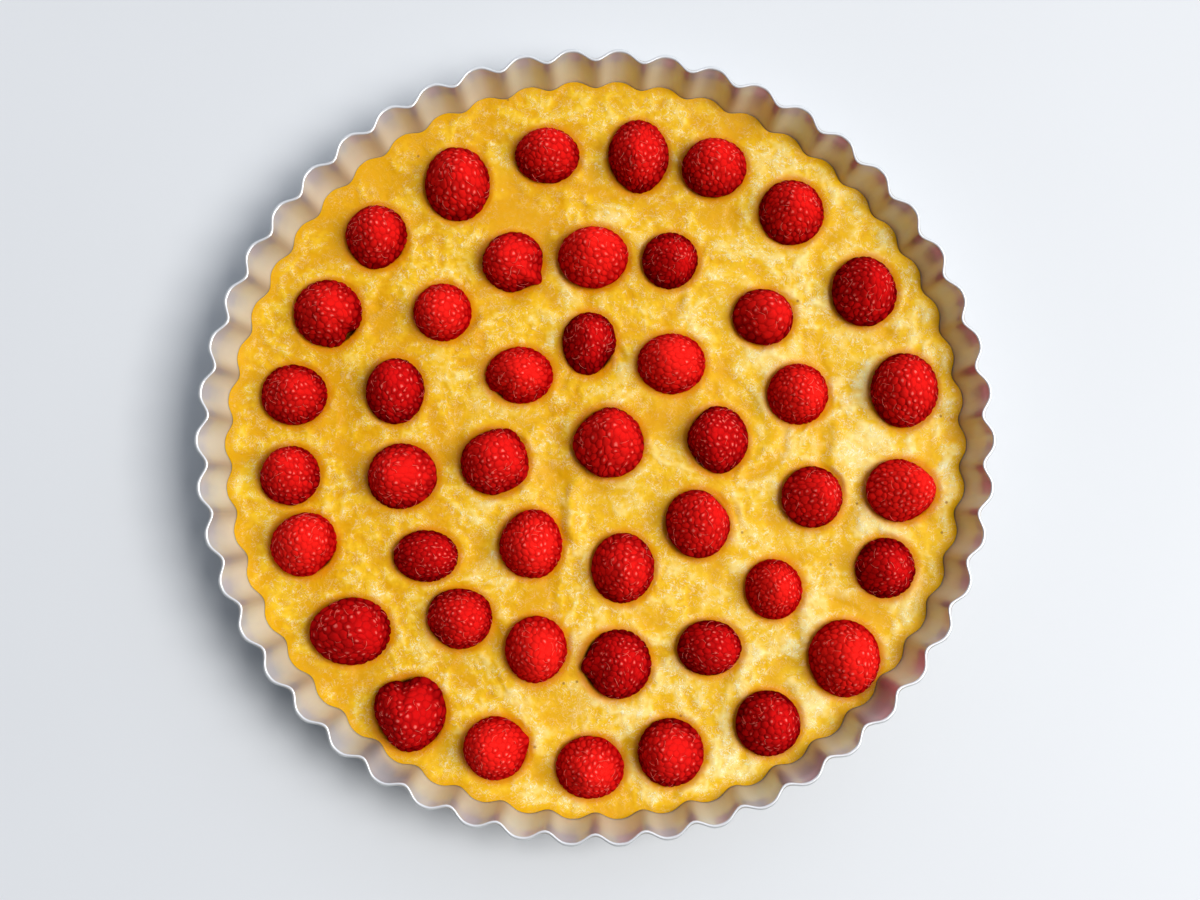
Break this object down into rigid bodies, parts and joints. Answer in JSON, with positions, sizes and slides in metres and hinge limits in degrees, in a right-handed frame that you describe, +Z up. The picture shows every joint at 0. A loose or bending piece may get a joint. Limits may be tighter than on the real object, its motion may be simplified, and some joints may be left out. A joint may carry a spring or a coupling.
{
  "type": "raspberry frangipane tart",
  "caption": "Round tart in a fluted metal tin, filled with almond frangipane that is dotted with whole raspberries in rings, not yet baked.",
  "frame": {"origin": "centre of the tin's flat underside", "axes": "+Z up through the tart's middle, +X to the right and +Y away as the tart is seen from the front"},
  "size_m": [0.28, 0.2794, 0.035],
  "materials": {
    "tin_metal": "satin, lightly brushed",
    "almond_filling": "soft, grainy and moist",
    "raspberry_flesh": "moist, glossy drupelets"
  },
  "bodies": {
    "root": {"tin": "tin_metal", "filling": "almond_filling", "raspberry_outer_01": "raspberry_flesh", "raspberry_outer_02": "raspberry_flesh", "raspberry_outer_03": "raspberry_flesh", "raspberry_outer_04": "raspberry_flesh", "raspberry_outer_05": "raspberry_flesh", "raspberry_outer_06": "raspberry_flesh", "raspberry_outer_07": "raspberry_flesh", "raspberry_outer_08": "raspberry_flesh", "raspberry_outer_09": "raspberry_flesh", "raspberry_outer_10": "raspberry_flesh", "raspberry_outer_11": "raspberry_flesh", "raspberry_outer_12": "raspberry_flesh", "raspberry_outer_13": "raspberry_flesh", "raspberry_outer_14": "raspberry_flesh", "raspberry_outer_15": "raspberry_flesh", "raspberry_outer_16": "raspberry_flesh", "raspberry_outer_17": "raspberry_flesh", "raspberry_outer_18": "raspberry_flesh", "raspberry_outer_19": "raspberry_flesh", "raspberry_outer_20": "raspberry_flesh", "raspberry_outer_21": "raspberry_flesh", "raspberry_middle_01": "raspberry_flesh", "raspberry_middle_02": "raspberry_flesh", "raspberry_middle_03": "raspberry_flesh", "raspberry_middle_04": "raspberry_flesh", "raspberry_middle_05": "raspberry_flesh", "raspberry_middle_06": "raspberry_flesh", "raspberry_middle_07": "raspberry_flesh", "raspberry_middle_08": "raspberry_flesh", "raspberry_middle_09": "raspberry_flesh", "raspberry_middle_10": "raspberry_flesh", "raspberry_middle_11": "raspberry_flesh", "raspberry_middle_12": "raspberry_flesh", "raspberry_middle_13": "raspberry_flesh", "raspberry_middle_14": "raspberry_flesh", "raspberry_middle_15": "raspberry_flesh", "raspberry_inner_01": "raspberry_flesh", "raspberry_inner_02": "raspberry_flesh", "raspberry_inner_03": "raspberry_flesh", "raspberry_inner_04": "raspberry_flesh", "raspberry_inner_05": "raspberry_flesh", "raspberry_inner_06": "raspberry_flesh", "raspberry_inner_07": "raspberry_flesh", "raspberry_inner_08": "raspberry_flesh", "raspberry_centre": "raspberry_flesh"}
  },
  "joints": []
}
